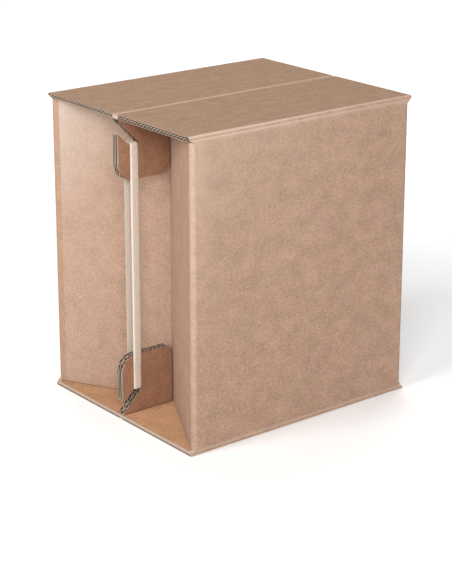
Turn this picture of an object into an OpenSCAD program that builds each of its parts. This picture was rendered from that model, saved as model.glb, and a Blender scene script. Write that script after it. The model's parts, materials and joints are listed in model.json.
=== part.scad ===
// Folding cajon of corrugated board: two creased sheets glued together in the mid-plane,
// with gusset sides that fold inwards and elastic bands that hold the drum up.
// Frame: X to the right seen from the front, playing face towards -Y, Z up from the floor.

/* [Drum] */
// Width of the seat and the base
box_w = 310; // [290:1:400]
// Depth from the playing face to the rear
box_d = 262; // [200:1:280]
// Height of the seat above the floor
box_h = 350; // [250:1:480]

/* [Board] */
// Thickness of the corrugated board
board_t = 5; // [3:0.5:6]
// Outer rounding of the level folds
fold_r = 3; // [1:0.5:3]
// Thickness of the liners on both faces of the board
liner_t = 0.6; // [0.3:0.1:0.8]
// Thickness of the fluted paper between the liners
flute_t = 0.5; // [0.3:0.1:0.7]
// Distance from flute to flute
flute_pitch = 5.8; // [4:0.1:9]
// Room left between two panels at a crease
crease_gap = 0.2; // [0.1:0.05:0.4]

/* [Front and rear panels] */
// How far the upright folds stand in from the side edges
fold_inset = 4; // [3:0.5:12]
// Straight edge at the tip of each corner ear
ear_land = 1.5; // [1:0.5:4]
// Gap between a corner ear and the rounded upright fold
ear_relief = 1; // [0.5:0.5:4]
// Diameter of the sound hole in the rear panel
sound_hole_d = 105; // [60:1:160]
// Height of the sound hole's centre above the floor
sound_hole_z = 175; // [110:1:200]

/* [Gussets] */
// How far the gusset reaches in from the side edges
gusset_depth = 72; // [55:1:90]
// Room above and below the gusset flaps
flap_gap = 1; // [0.5:0.5:3]

/* [Hook tabs] */
// Depth of a tab from the outer face of the seat or the base
tab_h = 74; // [60:1:100]
// Rounding of the tab's free corner
tab_corner_r = 18; // [5:1:25]
// Length of the slant at the tab's inner free corner
tab_slant_w = 10; // [4:1:16]
// Height of that slant
tab_slant_h = 6; // [2:1:10]
// Room between a tab and the gusset's crease
tab_gap = 1; // [0.5:0.5:4]
// Depth of the hook slot's mouth below the outer face
mouth_depth = 6; // [5:0.5:8]
// Height of the mouth at the tab's side edge
mouth_w = 15.5; // [8:0.5:18]
// Depth of the saddle where the band sits
saddle_depth = 35; // [28:0.5:38]
// Height of the slot's end over the saddle
pocket_h = 3; // [2.5:0.25:6]
// How deep the flutes stand open in the tab's cut edges
open_flute = 1; // [0.5:0.25:1.5]

/* [Glue strips] */
// Length of the strip's deep middle along the crease
strip_w = 110; // [60:1:115]
// Depth of the strip from the outer face of the seat or the base
strip_h = 25; // [18:1:30]
// Slant at the two free corners of the strip
strip_slant = 8; // [3:1:12]

/* [Elastic bands] */
// Width of the band
band_w = 10; // [6:0.5:12]
// Thickness of the band
band_t = 2; // [1:0.25:2.5]
// Distance from the side edge to the band's middle
band_x = 20; // [16:0.5:26]
// Room between the band and the tabs
band_gap = 0.3; // [0.2:0.05:0.5]

/* [Hidden] */
$fn = 64;

half_w = box_w / 2;
half_d = box_d / 2;
// Sideways shift of a 45 degree mitre face that leaves half the crease gap
mitre_shift = crease_gap / sqrt(2);
// Overshoot that carries a cut clear through a face
over = 1;

// Upright fold: its axis is the inner corner, and it is rounded outside by the board's thickness
fold_x = half_w - fold_inset - board_t;
fold_y = half_d - board_t;
round_z = ear_land + fold_inset + ear_relief;
ear_h = ear_land + fold_inset + board_t;

// Gusset flap: its angle to the drum's depth, and its length on the outer and the inner face
crease_x = half_w - gusset_depth;
reach_x = fold_x - crease_x;
flap_angle = atan(reach_x / fold_y) + asin(board_t / norm([reach_x, fold_y]));
flap_outer = reach_x * sin(flap_angle) + fold_y * cos(flap_angle);
flap_inner = flap_outer + board_t * tan(flap_angle);
flap_trim = crease_gap / 2 / cos(flap_angle);
flap_z = board_t + flap_gap;

// Hook tab: it stops short of the flaps' outer faces, which slant away from the gusset's crease
tab_w = gusset_depth - board_t * tan(flap_angle) - tab_gap;
pocket_near = band_x - band_w / 2 - band_gap;
pocket_far = band_x + band_w / 2 + band_gap;

// Flute: half of the pitch, and half the width of an opening at its liner and at its tip
flute_step = flute_pitch / 2;
flute_tip = 0.15 * flute_step;
flute_foot = flute_step - flute_tip - 1.3 * flute_t;

// Outline with the given right edge and the same edge mirrored on the left
function symmetric(edge) = concat(edge, [for (i = [len(edge) - 1:-1:0]) [-edge[i].x, edge[i].y]]);

kraft = "#c09565";
kraft_shade = "#94704a";
cream = "#ddd5c4";

// Moves a piece made for the right, rear, upper corner to another corner
module at(right = true, rear = true, upper = true) {
    flip([0, 0, 1], upper, box_h) flip([0, 1, 0], rear) flip([1, 0, 0], right) children();
}

// Mirrors a piece along one axis unless it is kept, and lifts what it mirrors
module flip(axis, keep, lift = 0) {
    if (keep) children();
    else translate([0, 0, lift]) mirror(axis) children();
}

// Carries a profile of depth and height along the width
module along_width(from, to) {
    translate([from, 0, 0]) rotate([90, 0, 90]) linear_extrude(to - from) children();
}

// Carries an outline of width and height along the depth
module along_depth(from, to) {
    translate([0, to, 0]) rotate([90, 0, 0]) linear_extrude(to - from) children();
}

// What a rounding takes off a corner of a board that lies towards the given signs
module corner_waste(corner, signs, r) {
    translate(corner) difference() {
        translate([signs.x > 0 ? -over : -r, signs.y > 0 ? -over : -r]) square(r + over);
        translate(signs * r) circle(r);
    }
}

// Openings of the flutes along a run of board, which stand on the two liners by turns
module flutes(run) {
    room = board_t - 2 * liner_t;
    count = floor(run / flute_step) - 1;
    for (i = [0:count - 1])
        translate([(run - (count - 1) * flute_step) / 2 + i * flute_step, 0]) rotate(180 * (i % 2)) polygon([
            [-flute_foot, -room / 2],
            [flute_foot, -room / 2],
            [flute_tip, room / 2 - flute_t],
            [-flute_tip, room / 2 - flute_t]
        ]);
}

// Half of the seat, mitred at the rear fold and at the crease in the mid-plane, with level flutes
module seat_half() {
    along_width(-half_w, half_w) difference() {
        polygon([
            [mitre_shift, box_h],
            [half_d - mitre_shift, box_h],
            [half_d - board_t - mitre_shift, box_h - board_t],
            [board_t + mitre_shift, box_h - board_t]
        ]);
        corner_waste([0, box_h], [1, -1], fold_r);
        corner_waste([half_d, box_h], [-1, -1], fold_r);
        translate([board_t, box_h - board_t / 2]) flutes(half_d - 2 * board_t);
    }
}

// Upright wall at the rear: a plate with slanted ears at its corners, and the rounded upright folds
module wall() {
    edge = [
        [half_w, 0], [half_w, ear_land], [fold_x, ear_h],
        [fold_x, box_h - ear_h], [half_w, box_h - ear_land], [half_w, box_h]
    ];
    intersection() {
        along_width(-half_w, half_w) difference() {
            polygon([
                [half_d, mitre_shift],
                [half_d, box_h - mitre_shift],
                [fold_y, box_h - board_t - mitre_shift],
                [fold_y, board_t + mitre_shift]
            ]);
            corner_waste([half_d, box_h], [-1, -1], fold_r);
            corner_waste([half_d, 0], [-1, 1], fold_r);
        }
        along_depth(0, half_d + over) polygon(symmetric(edge));
    }
    for (right = [true, false]) at(right) upright_fold();
}

// Rounded outside of an upright fold, a sector from the wall's end to the flap's end
module upright_fold() {
    far = 2 * board_t;
    translate([fold_x, fold_y, round_z]) linear_extrude(box_h - 2 * round_z) intersection() {
        circle(board_t);
        polygon([[0, 0], far * [cos(flap_angle), -sin(flap_angle)], [far, far], [0, far]]);
    }
}

// Gusset flap from the rear wall's fold to the mid-plane
module flap() {
    translate([fold_x, fold_y, flap_z]) rotate([0, 0, -90 - flap_angle])
        linear_extrude(box_h - 2 * flap_z) polygon([
            [crease_gap, 0],
            [crease_gap, board_t],
            [flap_outer - flap_trim, board_t],
            [flap_inner - flap_trim, 0]
        ]);
}

// One layer that hangs from the seat's crease, against the mid-plane, cut to the outline of its children
module hanging_layer(depth) {
    intersection() {
        along_width(-half_w, half_w) difference() {
            polygon([
                [0, box_h - depth],
                [board_t, box_h - depth],
                [board_t, box_h - board_t - mitre_shift],
                [0, box_h - mitre_shift]
            ]);
            corner_waste([0, box_h], [1, -1], fold_r);
        }
        along_depth(-over, board_t + over) children();
    }
}

// Hook tab, whose upright flutes stand open along the cut edges that face away from the crease
module hook_tab() {
    difference() {
        tab_blank();
        difference() {
            translate([half_w - tab_w, board_t / 2, box_h - tab_h - over])
                linear_extrude(tab_h - 2 * board_t + over) flutes(tab_w);
            translate([0, 0, open_flute]) tab_blank();
        }
    }
}

// Tab with a rounded and a slanted corner, and a slanted slot, which ends over the band's saddle
module tab_blank() {
    hanging_layer(tab_h) difference() {
        translate([half_w - tab_w, box_h - tab_h]) square([tab_w, tab_h + over]);
        corner_waste([half_w, box_h - tab_h], [-1, 1], tab_corner_r);
        translate([half_w - tab_w, box_h - tab_h]) polygon([
            [-tab_slant_w, 2 * tab_slant_h],
            [-tab_slant_w, -tab_slant_h],
            [2 * tab_slant_w, -tab_slant_h]
        ]);
        translate([half_w, box_h]) mirror([1, 0]) mirror([0, 1]) hook_slot();
    }
}

// Slot seen from the tab's top corner, first value inwards, second value down
module hook_slot() {
    polygon([
        [-over, mouth_depth],
        [0, mouth_depth],
        [pocket_far, saddle_depth - pocket_h],
        [pocket_far, saddle_depth],
        [pocket_near, saddle_depth],
        [0, mouth_depth + mouth_w],
        [-over, mouth_depth + mouth_w]
    ]);
    translate([pocket_far, saddle_depth - pocket_h / 2]) circle(pocket_h / 2);
}

// Glue strip: a folded lip along the crease from tab to tab, deeper in its middle
module glue_strip() {
    lip_x = half_w - tab_w - crease_gap;
    edge = [
        [lip_x, box_h + over],
        [lip_x, box_h - board_t],
        [strip_w / 2, box_h - board_t],
        [strip_w / 2, box_h - strip_h + strip_slant],
        [strip_w / 2 - strip_slant, box_h - strip_h]
    ];
    hanging_layer(strip_h) polygon(symmetric(edge));
}

// Elastic band, a flat loop over the upper saddle and under the lower one
module elastic_band() {
    along_width(half_w - band_x - band_w / 2, half_w - band_x + band_w / 2) difference() {
        band_loop(band_gap + band_t);
        band_loop(band_gap);
    }
}

// Outline of the tabs' hook pair between the two saddles, grown by the given room with round corners
module band_loop(room) {
    low = saddle_depth;
    high = box_h - saddle_depth;
    translate([-board_t, low - room]) square([2 * board_t, high - low + 2 * room]);
    translate([-board_t - room, low]) square([2 * (board_t + room), high - low]);
    for (y = [-board_t, board_t], z = [low, high]) translate([y, z]) circle(room);
}

module rear_panel() {
    color(kraft) difference() {
        wall();
        translate([0, 0, sound_hole_z]) rotate([-90, 0, 0]) cylinder(h = box_d, d = sound_hole_d);
    }
}

module front_panel() { color(kraft) at(rear = false) wall(); }

module seat_rear() { color(kraft) seat_half(); }

module seat_front() { color(kraft) at(rear = false) seat_half(); }

module base_rear() { color(kraft) at(upper = false) seat_half(); }

module base_front() { color(kraft) at(rear = false, upper = false) seat_half(); }

module gusset_flap(right, rear) { color(kraft) at(right, rear) flap(); }

module tab(right, rear, upper) { color(kraft_shade) at(right, rear, upper) hook_tab(); }

module strip(rear, upper) { color(kraft_shade) at(true, rear, upper) glue_strip(); }

module band(right) { color(cream) at(right) elastic_band(); }

rear_panel();
front_panel();
seat_rear();
seat_front();
base_rear();
base_front();
gusset_flap(false, true);  // left_flap_rear
gusset_flap(false, false);  // left_flap_front
gusset_flap(true, true);  // right_flap_rear
gusset_flap(true, false);  // right_flap_front
tab(false, true, true);  // upper_left_tab_rear
tab(false, false, true);  // upper_left_tab_front
tab(true, true, true);  // upper_right_tab_rear
tab(true, false, true);  // upper_right_tab_front
tab(false, true, false);  // lower_left_tab_rear
tab(false, false, false);  // lower_left_tab_front
tab(true, true, false);  // lower_right_tab_rear
tab(true, false, false);  // lower_right_tab_front
strip(true, true);  // upper_glue_strip_rear
strip(false, true);  // upper_glue_strip_front
strip(true, false);  // lower_glue_strip_rear
strip(false, false);  // lower_glue_strip_front
band(false);  // elastic_band_left
band(true);  // elastic_band_right
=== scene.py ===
"""Looks of a folding cajon: corrugated boards, creased folds, hook tabs and elastic bands.

Each board is built the way the real one is glued, from two liners with a fluted paper between
them, so its cut edges show open flutes. Lengths are in metres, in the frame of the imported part.
"""

import json
import logging
import math
from collections.abc import Callable
from dataclasses import dataclass, replace
from enum import Enum
from functools import partial

import bmesh
import bpy
import numpy as np
from mathutils import Matrix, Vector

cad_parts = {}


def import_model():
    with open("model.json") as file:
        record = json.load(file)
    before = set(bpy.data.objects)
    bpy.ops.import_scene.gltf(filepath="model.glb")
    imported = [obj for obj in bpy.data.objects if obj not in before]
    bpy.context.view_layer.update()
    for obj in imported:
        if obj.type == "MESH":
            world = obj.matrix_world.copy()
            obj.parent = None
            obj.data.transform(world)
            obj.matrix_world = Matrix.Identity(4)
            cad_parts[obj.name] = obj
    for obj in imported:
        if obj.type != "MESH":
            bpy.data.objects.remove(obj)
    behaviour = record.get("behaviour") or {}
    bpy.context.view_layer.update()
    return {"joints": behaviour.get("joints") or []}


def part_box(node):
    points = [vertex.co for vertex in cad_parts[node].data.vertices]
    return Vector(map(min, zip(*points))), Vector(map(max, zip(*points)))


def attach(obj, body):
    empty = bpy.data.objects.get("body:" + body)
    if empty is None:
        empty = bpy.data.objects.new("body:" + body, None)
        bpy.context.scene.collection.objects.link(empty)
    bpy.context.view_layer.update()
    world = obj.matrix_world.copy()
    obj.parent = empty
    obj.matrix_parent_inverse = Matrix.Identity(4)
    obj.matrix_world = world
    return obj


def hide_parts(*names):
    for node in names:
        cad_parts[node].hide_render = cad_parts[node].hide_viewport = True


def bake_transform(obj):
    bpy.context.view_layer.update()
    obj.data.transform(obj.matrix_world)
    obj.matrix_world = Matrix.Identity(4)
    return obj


LOG = logging.getLogger("cajon")
MM = 0.001
# Angle between two faces from which their edge is drawn sharp.
SHARP_EDGE = math.radians(35)
# Thickness of the fluted paper in the tabs and the glue strips.
TAB_PAPER = 0.45 * MM
# Stands for nothing where a share is divided by.
TINY = 1e-9
Depth = Callable[[np.ndarray], np.ndarray]


class Paper(Enum):
    """Surfaces of a board, in the order of its material slots."""

    OUTER = 0
    INNER = 1
    FLUTING = 2
    CUT = 3


class Axis(Enum):
    """Direction in the part's frame."""

    X = 0
    Y = 1
    Z = 2


class Grain(Enum):
    """Way that a board lies in the drum: direction along its flutes, and from flute to flute."""

    LEVEL = (Axis.X, Axis.Y)
    PANEL = (Axis.X, Axis.Z)
    GUSSET = (Axis.Y, Axis.Z)
    HANGING = (Axis.Z, Axis.X)


# Lighter and darker fibres of each paper, sRGB hex; None holds for the grains that aren't named.
TONES = {
    Paper.OUTER: {
        None: ("#a58875", "#8f7360"),
        # The seat's top paper is a little darker than the panels': painted shade, as less light falls on the
        # top.
        Grain.LEVEL: ("#a3866f", "#8d7059"),
        Grain.PANEL: ("#a78a77", "#8d715e"),
    },
    Paper.INNER: {
        None: ("#c49a77", "#aa8160"),
        Grain.LEVEL: ("#c09673", "#a67d5c"),
        # The tabs' visible paper is much darker than the base's: painted shade for the recess between the
        # flaps where the tabs hang.
        Grain.HANGING: ("#9e765e", "#89634c"),
    },
    # The fluted paper is painted dark for the shade inside the open flutes, darkest in the tabs, whose slots
    # lie in shade.
    Paper.FLUTING: {
        None: ("#6a5646", "#564436"),
        Grain.LEVEL: ("#75604f", "#604d3e"),
        Grain.HANGING: ("#584739", "#47382e"),
    },
    Paper.CUT: {
        None: ("#b59c88", "#a08673"),
        Grain.LEVEL: ("#aa998c", "#968578"),
        Grain.HANGING: ("#b5a493", "#a19080"),
    },
}

# What sets outer liners apart: streaks along the seat's and the base's flutes, coarser specks on
# the panels, and a greyish-white pale tone on the flaps, which is a painted haze of light.
LINER_TRAITS = {
    Grain.LEVEL: {"patch": 10 * MM, "patch_drawn": 2.4, "tint": 0.24, "rub_and_light_tone": "#b89d86"},
    Grain.PANEL: {"speck": 2.3 * MM, "patch_share": 0.54, "tint": 0.06},
    # A greyish-white pale tone for the flaps: a painted haze of light.
    Grain.GUSSET: {"rub_and_light_tone": "#cbc6bd"},
}
CUT_TRAITS = {"washboard": 0.0, "rub_and_light_tone": "#b5a496"}
# Darker, warmer paper for the rear upright folds: painted shade where these folds turn away from the light.
FOLD_SHADE_TRAITS = {"name": "kraft_outer_fold_shade", "pale": "#9f8069", "deep": "#8a6c57"}


@dataclass(frozen=True)
class Shell:
    """Closed surface that becomes part of one mesh.

    Args:
        points: places, one row each.
        faces: corner numbers of each face.
        papers: number of the paper that each face shows.
        wear_and_light: how far the paper is made paler at each point, for wear and for painted highlights.
    """

    points: np.ndarray
    faces: list[list[int]]
    papers: list[int]
    wear_and_light: np.ndarray


def grid_quads(rows: int, cols: int, loop: bool = False) -> np.ndarray:
    """Number the corners of a grid's quads, with the points counted row by row.

    Args:
        rows: how many rows of points there are.
        cols: how many points a row has.
        loop: whether the last row joins the first.

    Returns:
        One row of four corner numbers for each quad.
    """
    row = np.arange(rows if loop else rows - 1)[:, None]
    col = np.arange(cols - 1)[None, :]
    here = row * cols + col
    after = (row + 1) % rows * cols + col
    return np.stack([here, after, after + 1, here + 1], axis=-1).reshape(-1, 4)


def closed_sheet(
    front: np.ndarray,
    back: np.ndarray,
    paper: Paper = Paper.OUTER,
    under: Paper = Paper.FLUTING,
    rim: Paper = Paper.CUT,
    loop: bool = False,
    wear_and_light: np.ndarray | float = 0.0,
) -> Shell:
    """Close two grids of the same shape into a sheet, with a rim along their borders.

    Args:
        front: grid of points of one face, rows by columns by three.
        back: the same grid on the other face.
        paper: what the front shows.
        under: what the back shows, which for a liner is its side towards the flutes.
        rim: what the rim shows.
        loop: whether the grid's rows close into a ring.
        wear_and_light: how far the paper is made paler, for wear and for painted highlights, for the whole
            grid, its rows or its points.

    Returns:
        The sheet as a closed surface.
    """
    rows, cols = front.shape[:2]
    count = rows * cols
    number = np.arange(count).reshape(rows, cols)
    borders = [number[:, 0], number[:, -1]]
    if loop:
        borders = [np.append(border, border[0]) for border in borders]
    else:
        borders += [number[0], number[-1]]
    faces = grid_quads(rows, cols, loop)
    rims = np.concatenate([
        np.stack([b[:-1], b[1:], b[1:] + count, b[:-1] + count], axis=-1) for b in borders
    ])
    points = np.concatenate([front.reshape(-1, 3), back.reshape(-1, 3)])
    papers = [paper.value] * len(faces) + [under.value] * len(faces) + [rim.value] * len(rims)
    rub_and_light = np.tile(np.broadcast_to(wear_and_light, (rows, cols)).ravel(), 2)
    return Shell(points, np.concatenate([faces, faces[:, ::-1] + count, rims]).tolist(), papers, rub_and_light)


def plate(outline: np.ndarray, shift: np.ndarray, paper: Paper, under: Paper = Paper.FLUTING) -> Shell:
    """Carry a flat closed outline along a straight shift and close both ends.

    Args:
        outline: corners in order, one row each.
        shift: the way from the first face to the second.
        paper: what the first face shows.
        under: what the second face shows.

    Returns:
        The plate as a closed surface.
    """
    count = len(outline)
    here = np.arange(count)
    after = np.roll(here, -1)
    sides = np.stack([here, after, after + count, here + count], axis=-1).tolist()
    faces = sides + [here.tolist(), (here[::-1] + count).tolist()]
    papers = [Paper.CUT.value] * count + [paper.value, under.value]
    return Shell(np.concatenate([outline, outline + shift]), faces, papers, np.zeros(2 * count))


def points_of(x: np.ndarray, y: np.ndarray, z: np.ndarray) -> np.ndarray:
    """Join three arrays of coordinates, spread to one shape, into an array of points."""
    return np.stack(np.broadcast_arrays(x, y, z), axis=-1).astype(float)


def carried(x: np.ndarray, *profiles: np.ndarray) -> list[np.ndarray]:
    """Carry profiles of depth and height along the width, one grid of points for each profile."""
    return [points_of(x, profile[:, :1], profile[:, 1:]) for profile in profiles]


def arc(middle: tuple[float, float], radius: float, start: float, stop: float,
        steps: int) -> tuple[np.ndarray, np.ndarray]:
    """Sample a circle's arc between two angles in degrees.

    Args:
        middle: the circle's centre.
        radius: its radius.
        start: angle of the first point.
        stop: angle of the last point.
        steps: how many points there are.

    Returns:
        The points and the outward directions, one row each.
    """
    angles = np.radians(np.linspace(start, stop, steps))
    away = np.stack([np.cos(angles), np.sin(angles)], axis=-1)
    return np.array(middle) + radius * away, away


def lengthened(bend: np.ndarray, away: np.ndarray, before: np.ndarray,
               after: np.ndarray) -> tuple[np.ndarray, np.ndarray, np.ndarray]:
    """Add flat ends to an arc and measure the length along the whole line, point to point.

    Args:
        bend: points of the arc, one row each.
        away: outward directions of the arc.
        before: ways from the arc's start to the points before it.
        after: ways from the arc's end to the points after it.

    Returns:
        The line, its outward directions, and the length up to each point.
    """
    line = np.concatenate([bend[:1] + before, bend, bend[-1:] + after])
    flats = [np.tile(away[k], (len(ways), 1)) for k, ways in ((0, before), (-1, after))]
    normal = np.concatenate([flats[0], away, flats[1]])
    return line, normal, np.cumsum(np.append(0, np.linalg.norm(np.diff(line, axis=0), axis=1)))


def make_object(name: str, shells: list[Shell], materials: list[bpy.types.Material]) -> bpy.types.Object:
    """Make one mesh object from closed surfaces, with its faces turned outwards.

    Args:
        name: the piece's name.
        shells: the closed surfaces.
        materials: the material of each paper, in the order of Paper.

    Returns:
        The object, which sits at the origin.
    """
    starts = np.cumsum([0] + [len(shell.points) for shell in shells]).tolist()
    faces = [[start + k for k in face] for shell, start in zip(shells, starts) for face in shell.faces]
    papers = np.concatenate([shell.papers for shell in shells]).astype(np.int32)
    mesh = bpy.data.meshes.new(name)
    mesh.from_pydata(np.concatenate([shell.points for shell in shells]).tolist(), [], faces)
    for material in materials:
        mesh.materials.append(material)
    mesh.polygons.foreach_set("material_index", papers)
    turned = bmesh.new()
    turned.from_mesh(mesh)
    bmesh.ops.recalc_face_normals(turned, faces=turned.faces)
    turned.to_mesh(mesh)
    turned.free()
    wear_and_light = mesh.attributes.new("wear_and_light", "FLOAT", "POINT")
    wear_and_light.data.foreach_set("value", np.concatenate([shell.wear_and_light for shell in shells]).astype(np.float32))
    mesh.shade_smooth()
    mesh.set_sharp_from_angle(angle=SHARP_EDGE)
    thing = bpy.data.objects.new(name, mesh)
    bpy.context.scene.collection.objects.link(thing)
    LOG.info("%s: %d faces", name, len(mesh.polygons))
    return thing


def stand_for(piece: bpy.types.Object, node: str, body: str, slot: str) -> bpy.types.Object:
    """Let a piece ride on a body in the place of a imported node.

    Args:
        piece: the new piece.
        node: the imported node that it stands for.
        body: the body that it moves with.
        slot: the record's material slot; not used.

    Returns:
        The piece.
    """
    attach(piece, body)
    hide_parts(node)
    return piece


def linear(hex_code: str) -> tuple[float, float, float, float]:
    """Turn an sRGB hex value into linear red, green, blue and a full alpha, by the sRGB curve.

    Args:
        hex_code: a hash sign and six digits.

    Returns:
        The four shares.
    """
    shares = np.array([int(hex_code[k:k + 2], 16) for k in (1, 3, 5)]) / 255
    curve = np.where(shares <= 0.04045, shares / 12.92, ((shares + 0.055) / 1.055) ** 2.4)
    return (*curve.tolist(), 1.0)


def wave_scale(pitch: float) -> float:
    """Scale at which Blender's banded wave, which turns once in a tenth of pi, has a given pitch."""
    return 2 * math.pi / (20 * pitch)


def add_node(tree: bpy.types.NodeTree, kind: str, inputs: dict, **settings: object) -> bpy.types.Node:
    """Add a shader node with its settings, and link or set its inputs.

    Args:
        tree: the node tree.
        kind: Blender's name of the node's type, without the word ShaderNode.
        inputs: socket name or number to a value, or to the socket that it comes from.
        settings: the node's own options.

    Returns:
        The node.
    """
    node = tree.nodes.new(f"ShaderNode{kind}")
    for option, value in settings.items():
        setattr(node, option, value)
    for socket, value in inputs.items():
        if isinstance(value, bpy.types.NodeSocket):
            tree.links.new(value, node.inputs[socket])
        else:
            node.inputs[socket].default_value = value
    return node


def bare_material(
    name: str, **sockets: float
) -> tuple[bpy.types.Material, bpy.types.NodeTree, bpy.types.Node]:
    """Make a material that holds only a shader joined to its output.

    Args:
        name: the material's name.
        sockets: values of the shader's own sockets, with underscores for spaces.

    Returns:
        The material, its tree, and the shader node.
    """
    material = bpy.data.materials.new(name)
    material.use_nodes = True
    tree = material.node_tree
    tree.nodes.clear()
    inputs = {socket.replace("_", " "): value for socket, value in sockets.items()}
    shader = add_node(tree, "BsdfPrincipled", inputs)
    add_node(tree, "OutputMaterial", {"Surface": shader.outputs["BSDF"]})
    return material, tree, shader


@dataclass(frozen=True)
class KraftFinish:
    """Brown kraft paper: unbleached wood fibres, pressed matt, which show as a fine speckle.

    Fibres of a millimetre or two lie loosely along the flutes, so the speckle is drawn out that
    way. Wider patches differ a little in shade and colour as the pulp does, and a few dark shives
    lie in the sheet. The paper sinks between the flute tips under it, which gives a faint
    washboard. Where the mesh asks for it, the colour is mixed towards a paler tone, which stands
    for worn fibres and also for painted highlights and a painted haze of light on folds, panel
    edges and rear flaps.

    Args:
        name: the material's name.
        pale: colour of the lighter fibres, sRGB hex.
        deep: colour of the darker fibres, sRGB hex.
        grain: the way the board lies.
        pitch: distance from flute to flute.
        washboard: share of the bump that the flutes give.
        drawn: how much longer than wide a fleck of the speckle is.
        speck: width of a fleck, as fine as the picture can show.
        speck_share: weight of the speckle in the shade.
        patch: width of a patch of one pulp colour.
        patch_drawn: how much longer than wide a patch is.
        patch_share: weight of the patches beside the speckle.
        fibres: shades at which all fibres are the darker ones, and the lighter ones.
        tint: how far the patches differ in colour.
        fleck: how far the flecks of the speckle do.
        shives: how many shives there are along the length of one fleck.
        shive_edge: shares of their spacing at which a shive begins to fade, and is gone.
        shive_shade: how dark a shive is, as a share of the paper's colour.
        smooth: speckle values between which the paper goes from smoother to rougher.
        rough: roughness at those two.
        relief: height of the speckle.
        bump: how strongly the relief shows.
        rub_and_light_tone: colour where the paper is made paler, for wear and for painted highlights, sRGB
            hex.
    """

    name: str
    pale: str
    deep: str
    grain: Grain
    pitch: float
    washboard: float = 0.3
    drawn: float = 1.6
    speck: float = 1.9 * MM
    speck_share: float = 0.66
    patch: float = 16 * MM
    patch_drawn: float = 1.3
    patch_share: float = 0.48
    fibres: tuple[float, float] = (0.16, 0.5)
    tint: float = 0.15
    fleck: float = 0.1
    shives: float = 0.22
    shive_edge: tuple[float, float] = (0.05, 0.12)
    shive_shade: float = 0.82
    smooth: tuple[float, float] = (0.3, 0.7)
    rough: tuple[float, float] = (0.82, 0.94)
    relief: float = 0.12 * MM
    bump: float = 0.14
    rub_and_light_tone: str = "#cbb5a2"

    def drawn_out(self, tree: bpy.types.NodeTree, place: bpy.types.NodeSocket, width: float,
                  longer: float) -> bpy.types.NodeSocket:
        """Measure a place in flecks of a given width, which are longer along the flutes.

        Args:
            tree: the node tree.
            place: the place in the object's frame.
            width: of a fleck.
            longer: how much longer than wide it is.

        Returns:
            The socket of the measured place.
        """
        scale = [1 / width] * 3
        scale[self.grain.value[0].value] /= longer
        return add_node(tree, "Mapping", {"Vector": place, "Scale": scale}).outputs["Vector"]

    def material(self) -> bpy.types.Material:
        """Build the paper's nodes: shade, shives and hue, the paler tone of wear and painted highlights over
        them, and the relief.

        Returns:
            The material.
        """
        material, tree, shader = bare_material(self.name, IOR=1.45, Specular_IOR_Level=0.2)
        add = partial(add_node, tree)
        place = add("TexCoord", {}).outputs["Object"]
        drawn = self.drawn_out(tree, place, self.speck, self.drawn)
        speckle = add("TexNoise", {"Vector": drawn, "Scale": 1.0, "Detail": 2.0, "Roughness": 0.55})
        cloud = self.drawn_out(tree, place, self.patch, self.patch_drawn)
        patches = add("TexNoise", {"Vector": cloud, "Scale": 1.0, "Detail": 4.0, "Roughness": 0.7})
        part = add("Math", {
            0: patches.outputs["Fac"], 1: self.patch_share, 2: -self.patch_share / 2,
        }, operation="MULTIPLY_ADD")
        shade = add("Math", {
            0: speckle.outputs["Fac"], 1: self.speck_share, 2: part.outputs["Value"],
        }, operation="MULTIPLY_ADD")
        spread = add("MapRange", {
            "Value": shade.outputs["Value"], "From Min": self.fibres[0], "From Max": self.fibres[1],
            "To Min": 0.0, "To Max": 1.0,
        })
        pulp = add("Mix", {
            0: spread.outputs["Result"], 6: linear(self.deep), 7: linear(self.pale),
        }, data_type="RGBA")
        shives = add("TexVoronoi", {"Vector": drawn, "Scale": self.shives})
        shive = add("MapRange", {
            "Value": shives.outputs["Distance"], "From Min": self.shive_edge[0],
            "From Max": self.shive_edge[1], "To Min": self.shive_shade, "To Max": 1.0,
        })
        specked = add("VectorMath", {
            0: pulp.outputs[2], 1: shive.outputs["Result"],
        }, operation="MULTIPLY")
        hue = add("VectorMath", {
            0: patches.outputs["Color"], 1: [self.tint] * 3, 2: [1 - (self.tint + self.fleck) / 2] * 3,
        }, operation="MULTIPLY_ADD")
        mottle = add("VectorMath", {
            0: speckle.outputs["Color"], 1: [self.fleck] * 3, 2: hue.outputs["Vector"],
        }, operation="MULTIPLY_ADD")
        tone = add("VectorMath", {
            0: specked.outputs["Vector"], 1: mottle.outputs["Vector"],
        }, operation="MULTIPLY")
        # The mesh's paleness mixes in a lighter tone: worn fibres, and painted highlights and a painted haze
        # of light.
        wear_and_light = add("Attribute", {}, attribute_name="wear_and_light")
        face = add("Mix", {
            0: wear_and_light.outputs["Fac"], 6: tone.outputs["Vector"], 7: linear(self.rub_and_light_tone),
        }, data_type="RGBA")
        rough = add("MapRange", {
            "Value": speckle.outputs["Fac"], "From Min": self.smooth[0], "From Max": self.smooth[1],
            "To Min": self.rough[0], "To Max": self.rough[1],
        })
        wave = add("TexWave", {
            "Vector": place, "Scale": wave_scale(self.pitch), "Distortion": 0.0,
        }, wave_type="BANDS", bands_direction=self.grain.value[1].name, wave_profile="SIN")
        height = add("Math", {
            0: wave.outputs["Fac"], 1: self.washboard, 2: speckle.outputs["Fac"],
        }, operation="MULTIPLY_ADD")
        bump = add("Bump", {
            "Height": height.outputs["Value"], "Strength": self.bump, "Distance": self.relief,
        })
        tree.links.new(face.outputs[2], shader.inputs["Base Color"])
        tree.links.new(rough.outputs["Result"], shader.inputs["Roughness"])
        tree.links.new(bump.outputs["Normal"], shader.inputs["Normal"])
        return material


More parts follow.
